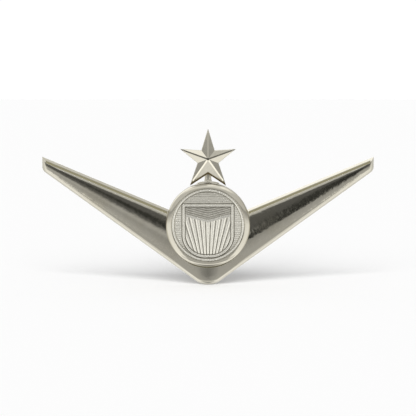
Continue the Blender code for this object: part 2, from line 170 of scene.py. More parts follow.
def soften(obj, width, angle, segments=3):
    """Rounds every edge sharper than the angle, and welds what the rounding leaves on one spot."""
    modify(obj, "BEVEL", width=width, segments=segments, limit_method="ANGLE",
           angle_limit=math.radians(angle), use_clamp_overlap=True, miter_outer="MITER_ARC")
    bm = bmesh.new()
    bm.from_mesh(obj.data)
    bmesh.ops.remove_doubles(bm, verts=bm.verts, dist=ONE_SPOT)
    bmesh.ops.dissolve_degenerate(bm, edges=bm.edges, dist=ONE_SPOT)
    bm.to_mesh(obj.data)
    bm.free()


def turned(name, profile, axis="Y", steps=192, centre=(0, 0, 0)):
    """A solid turned from (radius, place along the axis), closed on the axis or back on its first point."""
    along = {"X": Vector((1, 0, 0)), "Y": Vector((0, 1, 0)), "Z": Vector((0, 0, 1))}[axis]
    across = Vector((0, 0, 1)) if axis != "Z" else Vector((1, 0, 0))
    third = along.cross(across)
    verts, rings = [], []
    for radius, distance in profile:
        if radius < ON_AXIS:
            rings.append([len(verts)] * steps)
            verts.append(along * distance)
            continue
        rings.append(list(range(len(verts), len(verts) + steps)))
        for i in range(steps):
            angle = math.tau * i / steps
            verts.append(along * distance + (across * math.cos(angle) + third * math.sin(angle)) * radius)
    if profile[0][0] > ON_AXIS:
        rings.append(rings[0])
    faces = []
    for ring, following in zip(rings, rings[1:]):
        for i in range(steps):
            j = (i + 1) % steps
            face = list(dict.fromkeys((ring[i], ring[j], following[j], following[i])))
            if len(face) > 2:
                faces.append(face)
    shift = Vector(centre)
    return mesh_object(name, [v + shift for v in verts], faces)


def arc(centre, radius, start, end, steps):
    """Points on an arc, with the angles in degrees from the first axis towards the second."""
    angles = [math.radians(start + (end - start) * i / steps) for i in range(steps + 1)]
    return [(centre[0] + radius * math.cos(a), centre[1] + radius * math.sin(a)) for a in angles]


def slab(name, outline, start, end, centre=(0, 0, 0)):
    """An outline of Vectors extruded from start to end."""
    bm = bmesh.new()
    shift = Vector(centre)
    face = bm.faces.new([bm.verts.new(point + start + shift) for point in outline])
    moved = bmesh.ops.extrude_face_region(bm, geom=[face])["geom"]
    verts = [item for item in moved if isinstance(item, bmesh.types.BMVert)]
    bmesh.ops.translate(bm, verts=verts, vec=end - start)
    return bmesh_object(name, bm)


def rounded_rectangle(length, width, corner, steps=8):
    points = []
    for quarter, (side_a, side_b) in enumerate(((1, 1), (-1, 1), (-1, -1), (1, -1))):
        centre = (side_a * (length / 2 - corner), side_b * (width / 2 - corner))
        points += arc(centre, corner, 90 * quarter, 90 * (quarter + 1), steps)
    return points


def place(obj, name, material, slot, *nodes, body="badge", smooth=35, flat_faces=False):
    """Turns a finished mesh into metres and makes it the piece that stands for these CAD nodes."""
    obj.data.transform(Matrix.Scale(MM, 4))
    obj.data.shade_smooth()
    obj.data.set_sharp_from_angle(angle=math.radians(smooth))
    if flat_faces:
        modify(obj, "WEIGHTED_NORMAL", weight=100, keep_sharp=True)
    obj.name = obj.data.name = name
    obj.data.materials.clear()
    obj.data.materials.append(material)
    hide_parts(*nodes)
    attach(obj, body)


# ---- materials ----


class Nodes:
    """Short names for building the node tree of a material or a world."""

    def __init__(self, owner):
        owner.use_nodes = True
        self.owner = owner
        self.tree = owner.node_tree
        self.shader = self.tree.nodes.get("Principled BSDF")

    def add(self, kind, inputs=(), **settings):
        node = self.tree.nodes.new("ShaderNode" + kind)
        for key, value in settings.items():
            setattr(node, key, value)
        for key, value in dict(inputs).items():
            self.feed(node.inputs[key], value)
        return node

    def feed(self, socket, value):
        if isinstance(value, bpy.types.NodeSocket):
            self.tree.links.new(value, socket)
        else:
            socket.default_value = value

    def shade(self, key, value):
        """Sets one of the shader's sockets, or links it."""
        self.feed(self.shader.inputs[key], value)

    def place_mm(self, stretch=(1, 1, 1), turn=(0, 0, 0)):
        """The surface point in millimetres, stretched and turned."""
        coordinates = self.add("TexCoord").outputs["Object"]
        scale = [s / MM for s in stretch]
        turned_point = self.add("Mapping", {"Vector": coordinates, "Rotation": turn})
        return self.add("Mapping", {"Vector": turned_point.outputs[0], "Scale": scale}).outputs[0]

    def noise(self, scale, detail=2.0, roughness=0.5, **point):
        inputs = {"Vector": self.place_mm(**point), "Scale": scale}
        inputs |= {"Detail": detail, "Roughness": roughness}
        return self.add("TexNoise", inputs).outputs["Fac"]

    def remap(self, value, low, high, to_low=0.0, to_high=1.0):
        inputs = {"Value": value, "From Min": low, "From Max": high}
        inputs |= {"To Min": to_low, "To Max": to_high}
        return self.add("MapRange", inputs).outputs[0]

    def maths(self, operation, a, b=0.0):
        return self.add("Math", {0: a, 1: b}, operation=operation).outputs[0]

    def multiply(self, *values):
        product = values[0]
        for value in values[1:]:
            product = self.maths("MULTIPLY", product, value)
        return product

    def band(self, value, start, full, last_full, end):
        """1 from full to last_full, falling to 0 at the start and at the end."""
        return self.multiply(self.remap(value, start, full), self.remap(value, end, last_full))

    def mix(self, share, a, b):
        return self.add("Mix", {"Factor": share, "A": a, "B": b}, data_type="RGBA").outputs["Result"]

    def bump(self, height, strength, distance_mm, normal=None):
        inputs = {"Height": height, "Strength": strength, "Distance": distance_mm * MM}
        if normal is not None:
            inputs["Normal"] = normal
        return self.add("Bump", inputs).outputs["Normal"]


def scratches(nodes, count=3, scale=1.6, stretch=40.0):
    """Fine hairline scratches in a few directions, from 0 on the plain surface to 1 in a scratch."""
    total = 0.0
    for i in range(count):
        turn = (0.0, math.radians(28 + 63 * i), math.radians(11 * i))
        line = nodes.noise(scale * stretch, detail=0.0, stretch=(1 / stretch, 0.3, 1), turn=turn)
        sharp = nodes.remap(line, 0.66, 0.74)
        total = nodes.maths("MAXIMUM", total, sharp)
    return total


def polished_metal(name, colour, tarnish, roughness, haze=0.06, waviness=0.014, scratch=0.5):
    """Mirror-polished plate: soft waves, hazy patches, hairlines, and painted brown reflection and painted
    shade where the mesh says so.
    """
    nodes = Nodes(bpy.data.materials.new(name))
    patches = nodes.noise(0.22, detail=4.0, roughness=0.6)
    specks = nodes.noise(9.0, detail=3.0, roughness=0.7)
    hairlines = scratches(nodes)
    # This point value paints brown into the plate: a painted reflection on the ridges and star legs, and
    # painted shade and shadow under the cup and apex.
    painted_shade_and_reflection = nodes.add("Attribute", attribute_name="painted_shade_and_reflection").outputs["Fac"]
    painted_shade_and_reflection = nodes.multiply(painted_shade_and_reflection, nodes.remap(specks, 0.3, 0.6, 0.9, 1.0))
    worn = nodes.multiply(nodes.remap(patches, 0.45, 0.75), 0.5)
    plate = nodes.mix(worn, (*colour, 1), (*tarnish, 1))
    painted_colour = nodes.mix(nodes.remap(painted_shade_and_reflection, 1.0, 1.4), (*PAINTED_DARK_COLOUR, 1), (*DEEPER_PAINTED_DARK_COLOUR, 1))
    nodes.shade("Base Color", nodes.mix(painted_shade_and_reflection, plate, painted_colour))
    nodes.shade("Metallic", nodes.remap(painted_shade_and_reflection, 0, 1, 1.0, 0.1))
    patchy = nodes.remap(patches, 0.4, 0.7, 0.0, haze)
    speckled = nodes.remap(specks, 0.6, 0.8, 0.0, haze / 2)
    rough = nodes.maths("ADD", patchy, speckled)
    rough = nodes.maths("ADD", rough, nodes.multiply(hairlines, 0.12 * scratch))
    rough = nodes.maths("ADD", rough, nodes.remap(painted_shade_and_reflection, 0, 1, roughness, 0.5))
    nodes.shade("Roughness", rough)
    waves = nodes.noise(0.9, detail=1.0)
    normal = nodes.bump(waves, 1.0, waviness)
    normal = nodes.bump(hairlines, 0.35 * scratch, -0.002, normal)
    nodes.shade("Normal", normal)
    return nodes.owner


def struck_metal(name, colour, tarnish):
    """Die-struck relief with a pale bloom: bright on its high points, browner down in its lines, and with
    painted shade towards the disc's top and bottom.
    """
    nodes = Nodes(bpy.data.materials.new(name))
    depth = nodes.add("Attribute", attribute_name="depth").outputs["Fac"]
    blotches = nodes.noise(1.1, detail=5.0, roughness=0.65)
    # The depth value brings in the patina down the lines and the painted shade towards the disc's top and
    # bottom.
    share = nodes.multiply(depth, nodes.remap(blotches, 0.3, 0.7, 0.7, 0.98))
    nodes.shade("Base Color", nodes.mix(share, (*colour, 1), (*tarnish, 1)))
    grain = nodes.noise(14.0, detail=3.0, roughness=0.6)
    rough = nodes.maths("ADD", nodes.remap(grain, 0.3, 0.7, 0.22, 0.3), nodes.multiply(depth, 0.12))
    nodes.shade("Roughness", rough)
    nodes.shade("Metallic", 0.85)
    nodes.shade("Normal", nodes.bump(grain, 0.3, 0.01))
    return nodes.owner


def plain_metal(name, colour, tarnish, roughness=0.3, grain_scale=6.0, stretch=(1, 1, 1)):
    """Unpolished plate: a tumbled grain with dull patches."""
    nodes = Nodes(bpy.data.materials.new(name))
    grain = nodes.noise(grain_scale, detail=6.0, roughness=0.7, stretch=stretch)
    patches = nodes.noise(0.35, detail=4.0, roughness=0.6)
    share = nodes.remap(patches, 0.35, 0.75, 0.0, 0.8)
    nodes.shade("Base Color", nodes.mix(share, (*colour, 1), (*tarnish, 1)))
    rough = nodes.remap(grain, 0.3, 0.7, -0.07, 0.09)
    rough = nodes.maths("ADD", rough, nodes.remap(patches, 0.3, 0.7, 0.0, 0.1))
    nodes.shade("Roughness", nodes.maths("ADD", rough, roughness))
    nodes.shade("Metallic", 1.0)
    nodes.shade("Normal", nodes.bump(grain, 0.5, 0.012))
    return nodes.owner


PLATE_COLOUR = (0.7, 0.68, 0.615)
PAINTED_DARK_COLOUR = (0.15, 0.135, 0.075)
DEEPER_PAINTED_DARK_COLOUR = (0.07, 0.05, 0.018)  # where the painted value goes on past 1, for the star's painted dark reflection
POLISHED = polished_metal("polished_nickel", PLATE_COLOUR, (0.6, 0.565, 0.47), 0.05)
STAR_METAL = polished_metal("polished_star", PLATE_COLOUR, (0.64, 0.61, 0.53),
                            roughness=0.04, haze=0.03, waviness=0.003, scratch=0.3)
STRUCK = struck_metal("struck_nickel", (0.95, 0.935, 0.87), (0.09, 0.083, 0.06))
PLAIN = plain_metal("plain_nickel", (0.64, 0.62, 0.57), (0.5, 0.47, 0.4))
WIRE = plain_metal("steel_wire", (0.62, 0.62, 0.61), (0.5, 0.49, 0.46),
                   roughness=0.2, grain_scale=9.0, stretch=(0.08, 1, 1))

# ---- wings ----

STATIONS_WING = 150
STATIONS_CENTRE = 96
FRONT_ROWS = 34
WALL_ROWS = 3
ROUND_ROWS = 7
WALL_LENGTH = 1.5  # of the drafted side
EASE = 0.85  # 0 spaces the stations evenly, 1 packs them at both ends of a wing
WIDEST_RIM = 0.42  # of a hollow in the back, as a share of the wing's width

# Painted brown reflection along the wings' upper ridges, painted shade under the cup and a painted contact
# shadow at the apex
PAINTED_LINE_HALF_WIDTH = 0.32
PAINTED_LINE_BELOW_RIDGE = 0.07
PAINTED_LINE_FADE = 0.1
PAINTED_SHADE_UNDER_CUP = 0.35
PAINTED_DARK_FRONT = -0.7
APEX_PAINTED_SHADOW_HALF_WIDTH = 2.4


def reach(x):
    """Distance from the centre line, rounded off behind the medallion so that no crease shows there."""
    inner = CUP_LIP_INNER
    return np.where(np.abs(x) < inner, x**2 / (2 * inner) + inner / 2, np.abs(x))


def upper_line(x, inset):
    return UPPER_START + UPPER_SLOPE * reach(x) - inset * math.hypot(1, UPPER_SLOPE)


def lower_line(x, inset):
    x = np.abs(x)
    secant = math.hypot(1, LOWER_SLOPE)
    start = LOWER_START + inset * secant
    straight = start + LOWER_SLOPE * x
    apex = APEX_RADIUS - inset
    bottom = start + apex * secant - np.sqrt(np.maximum(apex**2 - x**2, 0))
    corner = TIP_CORNER_RADIUS - inset
    corner_x = HALF_SPAN - TIP_CORNER_RADIUS
    centre = start + LOWER_SLOPE * corner_x + corner * secant
    tip = centre - np.sqrt(np.maximum(corner**2 - (x - corner_x) ** 2, 0))
    line = np.where(x < apex * LOWER_SLOPE / secant, bottom, straight)
    return np.where(x > corner_x + corner * LOWER_SLOPE / secant, tip, line)


def front_of_wings(x, z):
    """y of the domed front at (x, z)."""
    low, high = lower_line(x, EDGE_BEVEL), upper_line(x, EDGE_BEVEL)
    width = np.maximum(high - low, 1e-6)
    across = np.clip((z - low) / width, 0, 1)
    past = np.clip((np.abs(x) / (HALF_SPAN - EDGE_BEVEL) - TIP_FADE) / (1 - TIP_FADE), 0, 1)
    rise = DOME_RISE * width * np.sqrt(1 - past**2)
    under_ridge = np.clip((high - z) / math.hypot(1, UPPER_SLOPE) / RIDGE_ROLL_WIDTH, 0, 1)
    roll = RIDGE_ROLL * (1 - (1 - under_ridge) ** 2)
    return -(EDGE_HEIGHT + rise * (1 - (2 * across - 1) ** 2) + roll * np.sqrt(1 - past**2))


def line_meets_circle(start, slope, radius):
    """x where the line start + slope * x leaves the circle about the origin."""
    a, b, c = 1 + slope**2, 2 * start * slope, start**2 - radius**2
    return (-b + math.sqrt(b**2 - 4 * a * c)) / (2 * a)


def eased(count):
    """0 to 1 with its steps closer together at both ends."""
    t = np.linspace(0, 1, count)
    return t - EASE * np.sin(math.tau * t) / math.tau


def rounded_corner(inside, corner, outside, radius):
    """Points round a corner: a Bezier that starts and ends at the radius from it, on either side."""
    first, last = (corner + (p - corner) * radius / np.linalg.norm(p - corner, axis=1, keepdims=True)
                   for p in (inside, outside))
    steps = np.linspace(0, 1, ROUND_ROWS)
    return [(1 - t) ** 2 * first + 2 * t * (1 - t) * corner + t**2 * last for t in steps]


def wing_rails():
    """From tip to tip: the ridge and back points of the lower edge, then of the upper edge or notch."""
    ridge_start = UPPER_START - EDGE_BEVEL * math.hypot(1, UPPER_SLOPE)
    ridge_join = line_meets_circle(ridge_start, UPPER_SLOPE, NOTCH_RADIUS)
    back_join = line_meets_circle(UPPER_START, UPPER_SLOPE, NOTCH_RADIUS)
    along = eased(STATIONS_WING)
    ridge_x = ridge_join + (HALF_SPAN - EDGE_BEVEL - ridge_join) * along
    back_x = back_join + (HALF_SPAN - back_join) * along
    turn = np.linspace(-1, 1, STATIONS_CENTRE)[1:-1]
    x_ridge = np.concatenate([-ridge_x[::-1], turn * ridge_join, ridge_x])
    x_back = np.concatenate([-back_x[::-1], turn * back_join, back_x])
    y_ridge, y_back = x_ridge * 0 - EDGE_HEIGHT, x_back * 0
    low_ridge = np.stack([x_ridge, y_ridge, lower_line(x_ridge, EDGE_BEVEL)], 1)
    low_back = np.stack([x_back, y_back, lower_line(x_back, 0)], 1)
    high_ridge = np.stack([x_ridge, y_ridge, upper_line(x_ridge, EDGE_BEVEL)], 1)
    high_back = np.stack([x_back, y_back, upper_line(x_back, 0)], 1)
    centre = slice(STATIONS_WING, STATIONS_WING + len(turn))
    for points, start, join in ((high_ridge, ridge_start, ridge_join), (high_back, UPPER_START, back_join)):
        join_angle = math.atan2(start + UPPER_SLOPE * join, join)
        angle = -math.pi / 2 + turn * (math.pi / 2 + join_angle)
        x, z = NOTCH_RADIUS * np.cos(angle), NOTCH_RADIUS * np.sin(angle)
        y = front_of_wings(x, z) if points is high_ridge else x * 0
        points[centre] = np.stack([x, y, z], 1)
    return low_ridge, low_back, high_ridge, high_back


def wings_rows():
    """Rows of points from tip to tip, once round the section: lower side, front, upper side, back."""
    low_ridge, low_back, high_ridge, high_back = wing_rails()
    width = np.linalg.norm((high_ridge - low_ridge)[:, [0, 2]], axis=1, keepdims=True)
    on_wing = np.clip((np.abs(high_ridge[:, :1]) - CUP_BASE_RADIUS + 1) / 1.2, 0, 1)
    upper_reach = NOTCH_ROUND + (UPPER_ROUND - NOTCH_ROUND) * on_wing

    def front(share):
        point = low_ridge + (high_ridge - low_ridge) * share
        point[:, 1] = front_of_wings(point[:, 0], point[:, 2])
        return point

    start, end = LOWER_ROUND / width, 1 - upper_reach / width
    walls = np.linspace(1, 0, WALL_ROWS + 1)[:-1]
    lower_end = low_ridge + (low_back - low_ridge) * LOWER_ROUND / WALL_LENGTH
    upper_end = high_ridge + (high_back - high_ridge) * upper_reach / WALL_LENGTH
    rows = [lower_end + (low_back - lower_end) * w for w in walls]
    rows += rounded_corner(low_back, low_ridge, front(start), LOWER_ROUND)
    rows += [front(start + (end - start) * s) for s in np.linspace(0, 1, FRONT_ROWS)[1:-1]]
    rows += rounded_corner(front(end), high_ridge, high_back, upper_reach)
    rows += [upper_end + (high_back - upper_end) * w for w in walls[::-1]]
    front_count = 2 * ROUND_ROWS + FRONT_ROWS - 2
    rows += back_rows(high_back, low_back, front_count)
    return rows, front_count


def back_rows(high_back, low_back, count):
    """The rows between the back's two edges, with a shallow hollow in each wing."""
    width = (high_back - low_back)[:, 2]
    rim = np.minimum(RECESS_WALL / width, WIDEST_RIM)
    step = RECESS_SIDE / width
    in_recess = (np.abs(high_back[:, 0]) > RECESS_START) & (np.abs(high_back[:, 0]) < RECESS_END)
    rim_rows, step_rows = 4, 3
    inner = count - 2 * (rim_rows + step_rows)
    sides = [rim * (i + 1) / rim_rows for i in range(rim_rows)]
    sides += [rim + step * (i + 1) / step_rows for i in range(step_rows)]
    depths = [0.0] * rim_rows + [math.sin(math.pi / 2 * (i + 1) / step_rows) for i in range(step_rows)]
    low = rim + step
    middle = [low + (1 - 2 * low) * (i + 1) / (inner + 1) for i in range(inner)]
    shares = sides + middle + [1 - share for share in reversed(sides)]
    depths += [1.0] * inner + depths[::-1]
    rows = []
    for share, depth in zip(shares, depths):
        row = high_back + (low_back - high_back) * share[:, None]
        row[:, 1] -= RECESS_DEPTH * depth * in_recess
        rows.append(row)
    return rows


def wings_mesh():
    """The skin round the section from tip to tip, and a grid that closes each tip, front to back."""
    rows, front_count = wings_rows()
    count, stations = len(rows), len(rows[0])
    verts = np.stack(rows, 1).reshape(-1, 3)
    faces = []
    for s in range(stations - 1):
        for r in range(count):
            q = (r + 1) % count
            faces.append((s * count + r, s * count + q, (s + 1) * count + q, (s + 1) * count + r))
    caps, extra = [], []
    for base in (0, (stations - 1) * count):
        columns = [[base + WALL_ROWS + k for k in range(front_count)]]
        front_edge = verts[columns[0]]
        back_ids = [base + (count - 1 - k) for k in range(front_count)]
        back_edge = verts[back_ids]
        for w in range(1, WALL_ROWS):
            share = w / WALL_ROWS
            ids = [base + WALL_ROWS - w]
            for k in range(1, front_count - 1):
                ids.append(len(verts) + len(extra))
                extra.append(front_edge[k] + (back_edge[k] - front_edge[k]) * share)
            ids.append(base + WALL_ROWS + front_count - 1 + w)
            columns.append(ids)
        last = base + 2 * WALL_ROWS + front_count - 1
        columns.append([base] + back_ids[1:-1] + [last])
        for a, b in zip(columns, columns[1:]):
            for k in range(front_count - 1):
                caps.append((a[k], a[k + 1], b[k + 1], b[k]))
        caps.append((base, back_ids[0], back_ids[1]))
        caps.append((last, back_ids[-1], back_ids[-2]))
    verts = np.concatenate([verts, np.array(extra).reshape(-1, 3)])
    return verts, faces + caps


def painted_dark_on_wings(verts):
    """1 in the painted brown reflection along each upper ridge, in the painted shade under the cup and in
    the painted contact shadow under the apex, and 0 elsewhere.
    """
    x, y, z = verts.T
    below_ridge = (upper_line(x, EDGE_BEVEL) - z) / math.hypot(1, UPPER_SLOPE)
    # Painted brown reflection along the upper ridge.
    line = np.clip((PAINTED_LINE_HALF_WIDTH - np.abs(below_ridge - PAINTED_LINE_BELOW_RIDGE)) / PAINTED_LINE_FADE, 0, 1)
    radius = np.maximum(np.hypot(x, z), 1)
    line = line * (radius > CUP_BASE_RADIUS + 0.1) * (np.abs(x) < HALF_SPAN - 0.9)
    # Painted shade in the gap under the cup.
    painted_shade_crescent = (radius < CUP_BASE_RADIUS + PAINTED_SHADE_UNDER_CUP) * np.clip((-z / radius - 0.75) / 0.2, 0, 1)
    # Painted contact shadow along the bottom of the apex.
    apex = (z < lower_line(x, 0.1)) * np.clip(APEX_PAINTED_SHADOW_HALF_WIDTH - np.abs(x), 0, 1)
    return np.maximum(np.maximum(line, painted_shade_crescent) * (y < PAINTED_DARK_FRONT), apex)


def point_values(obj, name, values):
    obj.data.attributes.new(name, "FLOAT", "POINT").data.foreach_set("value", values.astype(np.float32))


def make_wings():
    verts, faces = wings_mesh()
    wings = mesh_object("wings", verts, faces)
    point_values(wings, "painted_shade_and_reflection", painted_dark_on_wings(verts))
    place(wings, "wings_polished", POLISHED, "polished_nickel", "wings_body", smooth=28)


make_wings()

# ---- medallion ----

ROW_PITCH = 0.06
ROW_TURN = math.radians(1.2)
COLUMNS = 230


def step_up(value, edge, width):
    """0 below the edge and 1 above it, with a smooth ramp of that width between."""
    t = np.clip((value - edge) / width + 0.5, 0, 1)
    return t * t * (3 - 2 * t)


def ridged(value, pitch, sharpness):
    """Rounded ridges from 0 in the lines between them to 1 on top."""
    return np.abs(np.sin(math.pi * value / pitch)) ** sharpness


def inside_shield(x, z):
    """Distance in from the shield's outline, negative outside it."""
    drop = SHIELD_SHOULDER - SHIELD_POINT
    radius = (drop**2 + SHIELD_HALF_WIDTH**2) / (2 * SHIELD_HALF_WIDTH)
    curved = radius - np.hypot(np.abs(x) - (SHIELD_HALF_WIDTH - radius), z - SHIELD_SHOULDER)
    side = np.where(z > SHIELD_SHOULDER, SHIELD_HALF_WIDTH - np.abs(x), curved)
    return np.minimum(side, SHIELD_TOP - z)


RING_LINE = 0.4
CROWN = 0.13
GROUND_RELIEF = 0.13
GROUND_LINES = 0.44
BORDER = 0.52
BORDER_RELIEF = 0.5
BAND_HEIGHT = 0.9
BAND_SLOPE = 0.27
BAND_WIDTH = 0.62
BAND_RELIEF = 0.42
FIELD_LINES = 0.5
FAN_DEPTH = 16.0  # how far under the medallion's centre the flutes would meet
FAN_RADIUS = FAN_DEPTH + BAND_HEIGHT - 3
FAN_FLUTES = 0.96  # their pitch at that radius


def relief(x, z):
    """Height of the struck face over its ground, and how dark the point is, from 0 to 1: darker down in the
    lines, over the field above the band, and in painted shade towards the top and bottom of the ground.
    """
    radius = np.hypot(x, z)
    crown = CROWN * (1 - (radius / RING_INNER) ** 2)
    ground = ridged(z, GROUND_LINES, 0.8)
    inset = inside_shield(x, z)
    band = z - BAND_HEIGHT - BAND_SLOPE * np.sqrt(x**2 + 0.15)
    upper = ridged(band - BAND_WIDTH / 2, FIELD_LINES, 0.8)
    fan = np.arctan2(x, z + FAN_DEPTH) * FAN_RADIUS
    flutes = ridged(fan + FAN_FLUTES / 2, FAN_FLUTES, 0.6)
    above, below = step_up(band, BAND_WIDTH / 2, 0.12), step_up(-band, BAND_WIDTH / 2, 0.12)
    on_band = 1 - above - below
    field = above * (0.14 + 0.18 * upper) + below * (0.1 + 0.32 * flutes) + on_band * BAND_RELIEF
    border = BORDER_RELIEF - 0.05 * ((inset - BORDER / 2) / (BORDER / 2)) ** 2
    frame_share = 1 - step_up(inset, BORDER, 0.16)
    moat = 1 - step_up(np.abs(inset - BORDER - 0.12), 0.12, 0.1)
    shield = frame_share * border + (1 - frame_share) * field * (1 - 0.5 * moat)
    share = step_up(inset, 0, 0.2)
    near = (1 - share) * step_up(inset, -0.22, 0.16)
    edge_line = step_up(radius, RING_INNER - 0.16, 0.12)
    outside = GROUND_RELIEF * ground * (1 - near) * (1 - edge_line) - 0.04 * edge_line
    height = crown + share * shield + (1 - share) * outside
    dark_field = above * (0.5 + 0.5 * (1 - upper)) + below * (1 - flutes) + on_band * 0.05
    dark_shield = (1 - frame_share) * np.maximum(dark_field, 0.8 * moat)
    # Painted shade: the ground is darker towards its top and bottom.
    painted_shade_top_bottom = 0.3 * step_up(np.abs(z), 0.62 * RING_INNER, 0.35 * RING_INNER)
    ground_patina_and_painted_shade = np.maximum(np.maximum(painted_shade_top_bottom + (0.8 - painted_shade_top_bottom) * (1 - ground), near), RING_LINE * edge_line)
    return height, np.clip(share * dark_shield + (1 - share) * ground_patina_and_painted_shade, 0, 1)


def make_disc():
    """A grid of level rows with the struck relief, then its rim's rings out, over the edge and back."""
    turns = []
    angle = ROW_TURN / 2
    while angle < math.pi / 2:
        turns.append(angle)
        angle += min(ROW_TURN, ROW_PITCH / (RING_INNER * math.sin(angle)))
    heights = [RING_INNER * math.cos(a) for a in turns]
    heights = np.array(heights + [0.0] + [-h for h in reversed(heights)])
    widths = np.sqrt(RING_INNER**2 - heights**2)
    across = np.linspace(-1, 1, COLUMNS + 1)
    x = widths[:, None] * across[None, :]
    z = np.repeat(heights[:, None], COLUMNS + 1, 1)
    height, depth = relief(x, z)
    count, rows = COLUMNS + 1, len(heights)
    verts = np.stack([x, GROUND - height, z], -1).reshape(-1, 3)
    faces = []
    for j in range(rows - 1):
        for i in range(COLUMNS):
            a = j * count + i
            faces.append((a, a + 1, a + 1 + count, a + count))
    rim = [j * count + COLUMNS for j in range(rows)]
    rim += [(rows - 1) * count + i for i in range(COLUMNS - 1, 0, -1)]
    rim += [j * count for j in range(rows - 1, -1, -1)]
    rim += range(1, COLUMNS)
    directions = verts[rim][:, [0, 2]]
    directions = directions / np.linalg.norm(directions, axis=1, keepdims=True)
    top, half = (RING_INNER + DISC_RADIUS) / 2, (DISC_RADIUS - RING_INNER) / 2
    profile = [(RING_INNER + 0.02, GROUND - 0.12)]
    for i in range(9):
        a = math.pi * (1 - i / 8)
        profile.append((top + half * math.cos(a) * 0.96, RING_FRONT + RING_RISE * (1 - math.sin(a) ** 0.7)))
    profile += [(DISC_RADIUS, RING_FRONT + 0.3), (DISC_RADIUS, DISC_HIGH.y)]
    all_verts, loops, total = [verts], [rim], len(verts)
    for r, y in profile:
        ring = np.stack([directions[:, 0] * r, np.full(len(rim), y), directions[:, 1] * r], 1)
        all_verts.append(ring)
        loops.append(list(range(total, total + len(rim))))
        total += len(rim)
    for first, second in zip(loops, loops[1:]):
        for i in range(len(rim)):
            k = (i + 1) % len(rim)
            faces.append((first[i], first[k], second[k], second[i]))
    faces.append(tuple(loops[-1]))
    disc = mesh_object("disc", np.concatenate(all_verts), faces)
    values = np.zeros(total)
    values[: len(verts)] = depth.reshape(-1)
    values[len(verts) : len(verts) + len(rim)] = RING_LINE
    point_values(disc, "depth", values)
    place(disc, "medallion_relief", STRUCK, "struck_nickel", "medallion_disc", smooth=50)


RIVET_OFFSET = 5.4
RIVET_HEIGHT = -2.6
RIVET_RADIUS = 0.7
RIVET_HEAD_RADIUS = 1.15
BACK_DISC_RADIUS = BACK_DISC_HIGH.x
CUP_FLOOR_FRONT = -1.6
CUP_FLOOR_BACK = -0.6
CUP_SHOULDER = DISC_HIGH.y + JOINT_GAP
CUP_SHOULDER_RADIUS = 7.4
LIP_ROUND = 0.12
ROLL_STEPS = 30


def rivet_hole(side):
    head, shank = RIVET_HEAD_RADIUS + JOINT_GAP, RIVET_RADIUS + JOINT_GAP
    profile = [(0, 2.0), (head, 2.0), (head, 0.0), (shank, -0.4), (shank, -1.9), (0, -1.9)]
    return turned("hole", profile, steps=48, centre=(side * RIVET_OFFSET, 0, RIVET_HEIGHT))


def make_cup():
    seat = BACK_DISC_RADIUS + JOINT_GAP
    profile = [(0, CUP_FLOOR_BACK), (seat, CUP_FLOOR_BACK), (seat, -0.06), (seat + 0.06, 0)]
    edge = 0.1
    profile += [(CUP_BASE_RADIUS - edge, 0)] + arc((CUP_BASE_RADIUS - edge, -edge), edge, 75, 5, 4)
    lip = CUP_LIP_INNER + LIP_ROUND
    roll_centre = CUP_BASE_RADIUS - CUP_ROLL_WIDTH
    crest, roll_end = [math.acos((r - roll_centre) / CUP_ROLL_WIDTH) for r in (CUP_LIP_INNER, lip)]
    roll_start = CUP_FRONT + CUP_ROLL_DEPTH * math.sin(crest)
    for angle in np.linspace(0, roll_end, ROLL_STEPS):
        across, forward = CUP_ROLL_WIDTH * math.cos(angle), CUP_ROLL_DEPTH * math.sin(angle)
        profile.append((roll_centre + across, roll_start - forward))
    profile += arc((lip, profile[-1][1] + LIP_ROUND), LIP_ROUND, -90, -180, 6)[1:]
    profile += [(CUP_LIP_INNER, CUP_SHOULDER), (CUP_SHOULDER_RADIUS, CUP_SHOULDER)]
    profile += [(CUP_SHOULDER_RADIUS, CUP_FLOOR_FRONT), (0, CUP_FLOOR_FRONT)]
    cup = turned("cup", profile)
    combine(cup, "DIFFERENCE", rivet_hole(-1), rivet_hole(1))
    place(cup, "medallion_bezel", POLISHED, "polished_nickel", "medallion_cup", smooth=50)


def make_back_disc():
    """The back plate, with a groove round its rim, and the two rivets that clamp it to the cup's floor."""
    rim, edge, front = BACK_DISC_RADIUS, 0.14, BACK_DISC_LOW.y
    profile = [(0, -0.02), (2.5, -0.02), (rim - 1.05, -0.02), (rim - 0.95, -0.1)]
    profile += [(rim - 0.75, -0.1), (rim - 0.65, 0.0), (rim - edge, 0.0)]
    profile += arc((rim - edge, -edge), edge, 80, 0, 4) + [(rim, front), (0, front)]
    disc = turned("back_disc", profile)
    combine(disc, "DIFFERENCE", rivet_hole(-1), rivet_hole(1))
    place(disc, "medallion_back_plate", PLAIN, "plain_nickel", "medallion_back_disc")
    head = RIVET_HEAD_RADIUS
    for side, word in ((-1, "left"), (1, "right")):
        rivet = [(0, -2.05), (head * 0.6, -2.05), (head * 0.9, -1.95), (head, -1.8), (head, -1.66)]
        rivet += [(RIVET_RADIUS, -1.65), (RIVET_RADIUS, -0.4), (head - 0.05, -0.09), (head - 0.1, -0.04)]
        rivet += [(head - 0.3, -0.02), (head - 0.5, -0.05), (head - 0.65, -0.16), (0, -0.2)]
        piece = turned("rivet", rivet, steps=48, centre=(side * RIVET_OFFSET, 0, RIVET_HEIGHT))
        place(piece, f"rivet_tail_{word}", PLAIN, "plain_nickel", f"medallion_rivet_{word}")


make_disc()
make_cup()
make_back_disc()

# ---- star ----

